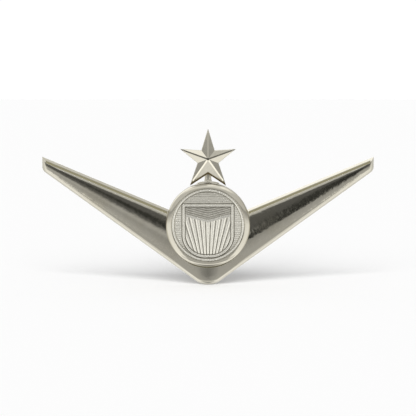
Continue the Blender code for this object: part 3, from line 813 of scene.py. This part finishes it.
STAR_CENTRE = 15.0
STAR_ARMS = ((0, 7.05), (69.5, 6.85), (145.5, 7.3))
STAR_NOTCHES = ((36, 2.6), (108.5, 2.55), (180, 3.3))
STAR_BACK = STAR_HIGH.y
STAR_EDGE = 0.4
STAR_WALL = 0.1  # the straight part of the edge, behind the draft
STAR_DRAFT = 0.1
STAR_LEG_DRAFT = 0.42
STAR_ROUND = 0.22
STAR_RIM_ROUND = 0.06
STAR_PEAK_LIFT = 0.12
STAR_PAINTED_REFLECTION = 1.6
STRUT_RADIUS = STRUT_HIGH.x
FOOT_THICKNESS = 0.3


def moved_in(outline, distances):
    """A clockwise outline of (x, z) with each side, named by its first point, moved in by its distance."""
    moved = []
    for i, point in enumerate(outline):
        before, after = outline[i - 1], outline[(i + 1) % len(outline)]
        first, second = (point - before).normalized(), (after - point).normalized()
        first_in, second_in = Vector((first.y, -first.x)), Vector((second.y, -second.x))
        corner = Matrix((first_in, second_in)).inverted() @ Vector((distances[i - 1], distances[i]))
        moved.append(point + corner)
    return moved


def make_star():
    """A faceted star with chamfered ridges and rim, whose sides lean in, most between the legs."""
    right = []
    for arm, notch in zip(STAR_ARMS, STAR_NOTCHES):
        right += [arm, notch]
    turns = [(math.radians(a), r) for a, r in right]
    corners = [(r * math.sin(a), r * math.cos(a) + STAR_CENTRE) for a, r in turns]
    outline = [Vector(p) for p in corners + [(-x, z) for x, z in reversed(corners[1:-1])]]
    drafts = [STAR_DRAFT] * 4 + [STAR_LEG_DRAFT] * 2 + [STAR_DRAFT] * 4
    rim_y = STAR_BACK - STAR_EDGE
    bm = bmesh.new()
    back = [bm.verts.new((x, STAR_BACK, z)) for x, z in outline]
    wall = [bm.verts.new((x, STAR_BACK - STAR_WALL, z)) for x, z in outline]
    front = [bm.verts.new((x, rim_y, z)) for x, z in moved_in(outline, drafts)]
    peak = bm.verts.new((0, STAR_LOW.y, STAR_PEAK_LIFT + STAR_CENTRE))
    bm.faces.new(back)
    for i in range(len(outline)):
        j = (i + 1) % len(outline)
        bm.faces.new((back[i], back[j], wall[j], wall[i]))
        bm.faces.new((wall[i], wall[j], front[j], front[i]))
        bm.faces.new((front[i], front[j], peak))
    ridges = [edge for edge in peak.link_edges if edge.other_vert(peak) in front[::2]]
    bmesh.ops.bevel(bm, geom=ridges, offset=STAR_ROUND, segments=1, affect="EDGES")
    rims = [edge for edge in bm.edges if all(abs(v.co.y - rim_y) < 1e-4 for v in edge.verts)]
    bmesh.ops.bevel(bm, geom=rims, offset=STAR_RIM_ROUND, segments=2, profile=0.5, affect="EDGES")
    star = bmesh_object("star", bm)
    # Painted dark brown reflection on the sides that lean in between the legs.
    leg, crotch = outline[4], outline[5]
    inward = Vector((crotch.y - leg.y, leg.x - crotch.x)).normalized()
    points = np.array([v.co for v in star.data.vertices])
    from_line = (np.abs(points[:, 0]) - leg.x) * inward.x + (points[:, 2] - leg.y) * inward.y
    painted_dark_sides = (np.abs(from_line) < STAR_LEG_DRAFT - 0.03) & (points[:, 1] < STAR_BACK - STAR_WALL / 2)
    point_values(star, "painted_shade_and_reflection", np.where(painted_dark_sides, STAR_PAINTED_REFLECTION, 0.0))
    place(star, "rank_star", STAR_METAL, "polished_nickel", "star", smooth=1)


def make_strut():
    foot, top = STRUT_LOW.z, STRUT_HIGH.z
    edge, flare, neck = 0.08, 0.35, 0.12
    profile = [(0, foot), (STRUT_RADIUS, foot), (STRUT_RADIUS, foot + edge)]
    for i in range(1, 5):
        narrower = neck * math.sin(math.pi / 2 * i / 4)
        profile.append((STRUT_RADIUS - narrower, foot + edge + flare * i / 4))
    profile += [(STRUT_RADIUS - neck, top - 0.35), (STRUT_RADIUS - 2 * neck, top - 0.1)]
    profile += [(STRUT_RADIUS - 0.45, top), (0, top)]
    depth = (STRUT_LOW.y + STRUT_HIGH.y) / 2
    strut = turned("strut", profile, axis="Z", steps=64, centre=(0, depth, 0))
    place(strut, "star_post", POLISHED, "polished_nickel", "star_strut")


def make_foot():
    """An oval foot laid over the top of the cup, with a rounded rim."""
    rim_steps, around, rim = 6, 96, 0.24
    half_width, half_depth = SADDLE_HIGH.x, (SADDLE_HIGH.y - SADDLE_LOW.y) / 2
    middle = (SADDLE_HIGH.y + SADDLE_LOW.y) / 2
    rings = [(share, FOOT_THICKNESS) for share in (0.2, 0.4, 0.6, 0.75)]
    for i in range(rim_steps + 1):
        a = math.pi / 2 * i / rim_steps
        rings.append((1 - rim / half_depth * (1 - math.sin(a)), FOOT_THICKNESS - rim * (1 - math.cos(a))))
    rings += [(1.0, 0.0)] + [(share, 0.0) for share in (0.8, 0.6, 0.4, 0.2)]

    def point(share, turn, height):
        x, y = half_width * share * math.cos(turn), middle + half_depth * share * math.sin(turn)
        radius = CUP_BASE_RADIUS + JOINT_GAP + height
        return x, y, math.sqrt(radius**2 - x**2)

    verts = [point(0, 0, FOOT_THICKNESS)]
    for share, height in rings:
        verts += [point(share, math.tau * i / around, height) for i in range(around)]
    verts.append(point(0, 0, 0))
    faces = []
    for i in range(around):
        j = (i + 1) % around
        faces.append((0, 1 + i, 1 + j))
        for k in range(len(rings) - 1):
            a, b = 1 + k * around, 1 + (k + 1) * around
            faces.append((a + i, b + i, b + j, a + j))
        last = 1 + (len(rings) - 1) * around
        faces.append((last + i, len(verts) - 1, last + j))
    foot = mesh_object("foot", verts, faces)
    place(foot, "star_foot", POLISHED, "polished_nickel", "star_saddle", smooth=50)


make_star()
make_strut()
make_foot()

# ---- pin-back ----

PIN_HEIGHT = 2.6
PIN_DEPTH = 2.6
HINGE_X = -16.2
CATCH_X = 16.0
HINGE_POINT = (HINGE_X, PIN_DEPTH, PIN_HEIGHT)
CATCH_POINT = (CATCH_X, PIN_DEPTH, PIN_HEIGHT)
PATCH_LENGTH = 6.2
PATCH_WIDTH = 4.2
PATCH_CORNER = 0.8
PATCH_BACK = 0.5
FOOT_START = PATCH_BACK + JOINT_GAP
BRACKET_FLOOR = 0.4
EAR_GAP = 1.1
EAR_THICKNESS = 0.5
EAR_RADIUS = 1.3
HINGE_RIVET_RADIUS = 0.4
STEM_RADIUS = 0.42
STEM_END = 18.3
EYE_RADIUS = 1.1
EYE_THICKNESS = 0.9
BARREL_LENGTH = 2.8
BARREL_RADIUS = 1.95
BARREL_BORE = 1.4
BARREL_SLOT = 1.3
BARREL_FOOT = 2.9
RUNNING_GAP = 0.06
ROTOR_RADIUS = BARREL_BORE - RUNNING_GAP
ROTOR_BORE = 0.62
ROTOR_SLOT = 1.05
COLLAR_RADIUS = 1.7
COLLAR_LENGTH = 0.3
FLANGE_RADIUS = 1.85
FLANGE_LENGTH = 0.8
LEVER_ANGLE = math.radians(60)
LEVER_REACH = 3.0
LEVER_WIDTH = 1.3
LEVER_THICKNESS = 0.56


def make_patch(name, node, x):
    corners = rounded_rectangle(PATCH_LENGTH, PATCH_WIDTH, PATCH_CORNER)
    outline = [Vector((a, 0, b)) for a, b in corners]
    front, back = Vector((0, JOINT_GAP, 0)), Vector((0, PATCH_BACK, 0))
    patch = slab(name, outline, front, back, (x, 0, PIN_HEIGHT))
    soften(patch, width=0.14, angle=40)
    place(patch, name, PLAIN, "plain_nickel", node, flat_faces=True)


def make_hinge():
    centre = (HINGE_X, 0, PIN_HEIGHT)
    half = EAR_GAP / 2 + EAR_THICKNESS
    floor_end = FOOT_START + BRACKET_FLOOR
    outline = [Vector((a, 0, b)) for a, b in rounded_rectangle(2 * EAR_RADIUS + 1.2, 2 * half, 0.4)]
    bracket = slab("bracket", outline, Vector((0, FOOT_START, 0)), Vector((0, floor_end, 0)), centre)
    ear_foot = floor_end - 0.2
    ear = [(EAR_RADIUS, ear_foot)] + arc((0, PIN_DEPTH), EAR_RADIUS, 0, 180, 28) + [(-EAR_RADIUS, ear_foot)]
    ear_outline = [Vector((a, b, 0)) for a, b in ear]
    for side in (-1, 1):
        near, far = side * EAR_GAP / 2, side * half
        tab = slab("tab", ear_outline, Vector((0, 0, near)), Vector((0, 0, far)), centre)
        combine(bracket, "UNION", tab)
    hole = HINGE_RIVET_RADIUS + JOINT_GAP
    profile = [(0, -3), (hole, -3), (hole, 3), (0, 3)]
    cutter = turned("hole", profile, axis="Z", steps=48, centre=HINGE_POINT)
    combine(bracket, "DIFFERENCE", cutter)
    soften(bracket, width=0.07, segments=2, angle=40)
    place(bracket, "hinge_ears", PLAIN, "plain_nickel", "hinge_bracket", flat_faces=True)
    under_head = half + JOINT_GAP
    head, crown, brim = 0.75, 0.2, under_head + 0.05
    end = [(HINGE_RIVET_RADIUS, under_head), (head - 0.04, under_head), (head, brim)]
    end += [(head * math.cos(a), brim + crown * math.sin(a)) for a in (0.3, 0.6, 0.9, 1.2)]
    end.append((0, brim + crown))
    profile = [(r, -y) for r, y in reversed(end)] + end
    rivet = turned("rivet", profile, axis="Z", steps=48, centre=HINGE_POINT)
    place(rivet, "hinge_pin", PLAIN, "plain_nickel", "hinge_rivet")


def make_stem():
    half = EYE_THICKNESS / 2
    hole = HINGE_RIVET_RADIUS + RUNNING_GAP
    edge = 0.12
    eye = [(hole, -half + 0.06), (hole + 0.06, -half), (EYE_RADIUS - edge, -half)]
    eye += arc((EYE_RADIUS - edge, -half + edge), edge, -75, 0, 4)
    eye += [(r, -y) for r, y in reversed(eye)]
    stem = turned("stem", eye, axis="Z", steps=72, centre=HINGE_POINT)
    start, end, taper, point_radius = 0.75, STEM_END - HINGE_X, 6.0, 0.05
    wire = [(0, start), (STEM_RADIUS, start), (STEM_RADIUS, end - taper)]
    for i in range(1, 9):
        t = i / 8
        wire.append((STEM_RADIUS + (point_radius - STEM_RADIUS) * t**1.7, end - taper + taper * t))
    wire.append((0, end))
    combine(stem, "UNION", turned("wire", wire, axis="X", steps=32, centre=HINGE_POINT))
    soften(stem, width=0.1, angle=38)
    place(stem, "pin_wire", WIRE, "steel_wire", "pin_stem", body="stem", smooth=50, flat_faces=True)


def make_catch():
    half_foot = BARREL_FOOT / 2
    slot_angle = math.degrees(math.asin(BARREL_SLOT / 2 / BARREL_RADIUS))
    foot_angle = 180 - math.degrees(math.asin(half_foot / BARREL_RADIUS))
    foot_depth = FOOT_START - PIN_DEPTH
    outline = arc((0, 0), BARREL_RADIUS, slot_angle, foot_angle, 30)
    outline += [(foot_depth, half_foot), (foot_depth, -half_foot)]
    outline += arc((0, 0), BARREL_RADIUS, -foot_angle, -slot_angle, 30)
    inner = math.degrees(math.asin(BARREL_SLOT / 2 / BARREL_BORE))
    outline += arc((0, 0), BARREL_BORE, -inner, inner - 360, 64)
    points = [Vector((0, a, b)) for a, b in outline]
    half = Vector((BARREL_LENGTH / 2, 0, 0))
    barrel = slab("barrel", points, -half, half, CATCH_POINT)
    soften(barrel, width=0.07, angle=40)
    place(barrel, "catch_barrel", PLAIN, "plain_nickel", "catch_body", flat_faces=True)


def make_rotor():
    inboard = -BARREL_LENGTH / 2 - RUNNING_GAP
    outboard = -inboard
    edge = 0.08
    near, far = inboard - COLLAR_LENGTH, outboard + FLANGE_LENGTH
    bore_edge = ROTOR_BORE + 0.05
    profile = [(bore_edge, near), (COLLAR_RADIUS - edge, near), (COLLAR_RADIUS, near + edge)]
    profile += [(COLLAR_RADIUS, inboard), (ROTOR_RADIUS, inboard), (ROTOR_RADIUS, outboard)]
    profile += [(FLANGE_RADIUS - edge, outboard), (FLANGE_RADIUS, outboard + edge)]
    profile += [(FLANGE_RADIUS, far - edge), (FLANGE_RADIUS - edge, far), (bore_edge, far)]
    profile += [(ROTOR_BORE, far - 0.05), (ROTOR_BORE, near + 0.05)]
    rotor = turned("rotor", profile, axis="X", steps=96, centre=CATCH_POINT)
    half = ROTOR_SLOT / 2
    mouth = [Vector((0, 0, -half)), Vector((0, 4, -half)), Vector((0, 4, half)), Vector((0, 0, half))]
    combine(rotor, "DIFFERENCE", slab("mouth", mouth, Vector((-6, 0, 0)), Vector((6, 0, 0)), CATCH_POINT))
    root, half = FLANGE_RADIUS - 0.5, LEVER_WIDTH / 2
    flat = [(root, -half * 0.8)] + arc((LEVER_REACH - half, 0), half, -90, 90, 20) + [(root, half * 0.8)]
    turn = Matrix.Rotation(LEVER_ANGLE, 3, "X")
    outline = [turn @ Vector((0, a, b)) for a, b in flat]
    start = Vector((outboard + 0.12, 0, 0))
    lever = slab("lever", outline, start, start + Vector((LEVER_THICKNESS, 0, 0)), CATCH_POINT)
    combine(rotor, "UNION", lever)
    soften(rotor, width=0.06, segments=2, angle=40)
    place(rotor, "catch_sleeve", PLAIN, "plain_nickel", "catch_rotor", body="rotor", flat_faces=True)


make_patch("hinge_foot", "hinge_patch", HINGE_X)
make_patch("catch_foot", "catch_patch", CATCH_X)
make_hinge()
make_stem()
make_catch()
make_rotor()

# ---- stage, light and camera ----


def make_stage():
    """A white table top at the pin's lowest point, in metres."""
    half, height = 6.0, CAD_BOX[0].z
    corners = [(-half, -half, height), (half, -half, height), (half, half, height), (-half, half, height)]
    floor = mesh_object("floor", corners, [(0, 1, 2, 3)])
    nodes = Nodes(bpy.data.materials.new("white_table"))
    nodes.shade("Base Color", (0.945, 0.945, 0.945, 1))
    nodes.shade("Roughness", 0.9)
    nodes.shade("Specular IOR Level", 0.0)
    floor.data.materials.append(nodes.owner)
    floor.visible_glossy = False


def make_light():
    sun = bpy.data.lights.new("window", "SUN")
    sun.energy = 3.6
    sun.angle = math.radians(38)
    lamp = linked("window", sun)
    lamp.rotation_euler = (math.radians(62), 0, math.radians(-4))
    lamp.visible_glossy = False


RAMP_TOP = 1.5  # a ramp holds nothing above 1, so its stops are scaled down and its result back up

# Brightness of the room by the sine of the height above the horizon
FRONT_ROOM = ((-1, 0.2), (-0.92, 0.28), (-0.85, 0.42), (-0.78, 0.5), (-0.66, 0.58), (-0.58, 0.5),
              (-0.45, 0.46), (-0.08, 0.48), (-0.06, 0.44), (0.02, 0.115), (0.3, 0.115), (0.35, 0.6),
              (0.42, 0.62), (0.55, 0.55), (0.8, 0.95), (0.96, 0.95), (0.98, 1.3), (1, 1.3))
SIDE_WALLS = ((-1, 0.2), (-0.9, 0.4), (-0.83, 0.8), (-0.79, 0.86), (-0.75, 1.14), (-0.65, 1.1),
              (-0.05, 1.0), (0.1, 0.6), (0.2, 0.4), (0.262, 0.4), (0.272, 0.64), (0.33, 0.68),
              (0.7, 0.65), (0.93, 1.4), (1, 1.4))
BACK_LEFT = ((-1, 0.3), (-0.75, 0.36), (-0.5, 0.8), (-0.2, 0.75), (0.1, 0.8), (0.3, 1.0), (0.6, 1.3),
             (1, 1.35))
BACK_RIGHT = ((-1, 0.3), (-0.75, 0.36), (-0.5, 0.8), (-0.2, 0.75), (0.1, 0.62), (0.35, 0.4),
              (0.6, 0.68), (0.8, 0.8), (1, 1.3))

# Colours of what stands in the room
FLOOR_PATCH = (0.05, 0.05, 0.045, 1)
STAND = (0.035, 0.035, 0.03, 1)
GREY_SCREEN = (0.2, 0.196, 0.18, 1)
LAMP = (1.5, 1.47, 1.37, 1)
CEILING = (0.62, 0.61, 0.57, 1)
BACK_FLOOR = (0.1, 0.1, 0.09, 1)


def grey_ramp(nodes, value, stops):
    """A warm grey that follows a value from -1 to 1 through its (value, brightness) stops."""
    ramp = nodes.add("ValToRGB", {"Fac": nodes.remap(value, -1, 1)})
    elements = ramp.color_ramp.elements
    ends = {stops[0][0]: elements[0], stops[-1][0]: elements[1]}
    for place_on, brightness in stops:
        element = ends.get(place_on) or elements.new((place_on + 1) / 2)
        share = brightness / RAMP_TOP
        element.color = (share, 0.98 * share, 0.915 * share, 1)
    inputs = {"Vector": ramp.outputs["Color"], "Scale": RAMP_TOP}
    return nodes.add("VectorMath", inputs, operation="SCALE").outputs[0]


def make_world():
    """White for the camera, even light for matt surfaces, and a dark room with pale panels for mirrors."""
    world = bpy.data.worlds.new("studio")
    bpy.context.scene.world = world
    nodes = Nodes(world)
    nodes.tree.nodes.clear()
    direction = nodes.add("TexCoord").outputs["Generated"]
    x, y, z = nodes.add("SeparateXYZ", {0: direction}).outputs
    side = nodes.maths("ABSOLUTE", x)
    # In front: a dark patch on the floor, a leaning stand and the side walls
    room = grey_ramp(nodes, z, FRONT_ROOM)
    patch = nodes.multiply(nodes.remap(side, 0.25, 0.0), nodes.band(z, -0.54, -0.46, -0.2, -0.1), 0.6)
    room = nodes.mix(patch, room, FLOOR_PATCH)
    stand_middle = nodes.remap(z, 0.16, -0.175, 0.04, 0.11)
    from_stand = nodes.maths("ABSOLUTE", nodes.maths("SUBTRACT", x, stand_middle))
    stand = nodes.multiply(nodes.remap(from_stand, 0.06, 0.045), nodes.band(z, -0.18, -0.17, 0.16, 0.2))
    room = nodes.mix(stand, room, STAND)
    wall_start = nodes.remap(z, -0.3, -0.38, 0.3, 0.42)
    nearer = nodes.multiply(nodes.band(z, 0.0, 0.1, 0.36, 0.42), 0.1)
    wall_start = nodes.maths("SUBTRACT", wall_start, nearer)
    walls = nodes.remap(nodes.maths("SUBTRACT", side, wall_start), 0, 0.06)
    room = nodes.mix(walls, room, grey_ramp(nodes, z, SIDE_WALLS))
    # On each side, for the star's steep facets: a grey screen and a low lamp
    screen = nodes.multiply(nodes.band(side, 0.35, 0.38, 0.46, 0.49), nodes.band(z, 0.1, 0.14, 0.3, 0.34))
    room = nodes.mix(screen, room, GREY_SCREEN)
    lamp = nodes.multiply(nodes.band(side, 0.3, 0.32, 0.4, 0.42), nodes.band(z, -0.4, -0.38, -0.29, -0.27))
    room = nodes.mix(lamp, room, LAMP)
    # The ceiling, darker to the left and behind
    off_centre = nodes.maths("MAXIMUM", nodes.remap(x, 0.0, -0.05), nodes.remap(y, -0.06, 0.0))
    room = nodes.mix(nodes.multiply(nodes.remap(z, 0.85, 0.93), off_centre), room, CEILING)
    left, right = grey_ramp(nodes, z, BACK_LEFT), grey_ramp(nodes, z, BACK_RIGHT)
    back = nodes.mix(nodes.remap(x, -0.25, 0.25), left, right)
    under = nodes.multiply(nodes.remap(side, 0.35, 0.0), nodes.remap(z, -0.25, -0.4), 0.5)
    back = nodes.mix(under, back, BACK_FLOOR)
    room = nodes.mix(nodes.remap(y, 0.1, 0.3), room, back)
    path = nodes.add("LightPath").outputs
    soft = nodes.add("Background", {"Strength": 0.62}).outputs[0]
    mirrored = nodes.add("Background", {"Color": room}).outputs[0]
    seen = nodes.add("Background", {"Color": (1, 1, 1, 1), "Strength": 1.05}).outputs[0]
    indirect = nodes.add("MixShader", {0: path["Is Glossy Ray"], 1: soft, 2: mirrored}).outputs[0]
    whole = nodes.add("MixShader", {0: path["Is Camera Ray"], 1: indirect, 2: seen}).outputs[0]
    nodes.add("OutputWorld", {"Surface": whole})


def make_camera():
    """Seen from the front and a little above, through a long lens."""
    lens, sensor = 150.0, 36.0
    width_seen, centre_height, elevation = 95.85 * MM, 3.7 * MM, math.radians(4)
    camera = linked("camera", bpy.data.cameras.new("camera"))
    camera.data.lens, camera.data.sensor_width = lens, sensor
    distance = width_seen * lens / sensor
    back = Vector((0, -math.cos(elevation), math.sin(elevation)))
    camera.location = Vector((0, 0, centre_height)) + back * distance
    camera.rotation_euler = (math.pi / 2 - elevation, 0, 0)
    camera.data.clip_start, camera.data.clip_end = 0.01, 100
    bpy.context.scene.camera = camera


make_stage()
make_light()
make_world()
make_camera()
bpy.context.scene.view_settings.view_transform = "Standard"
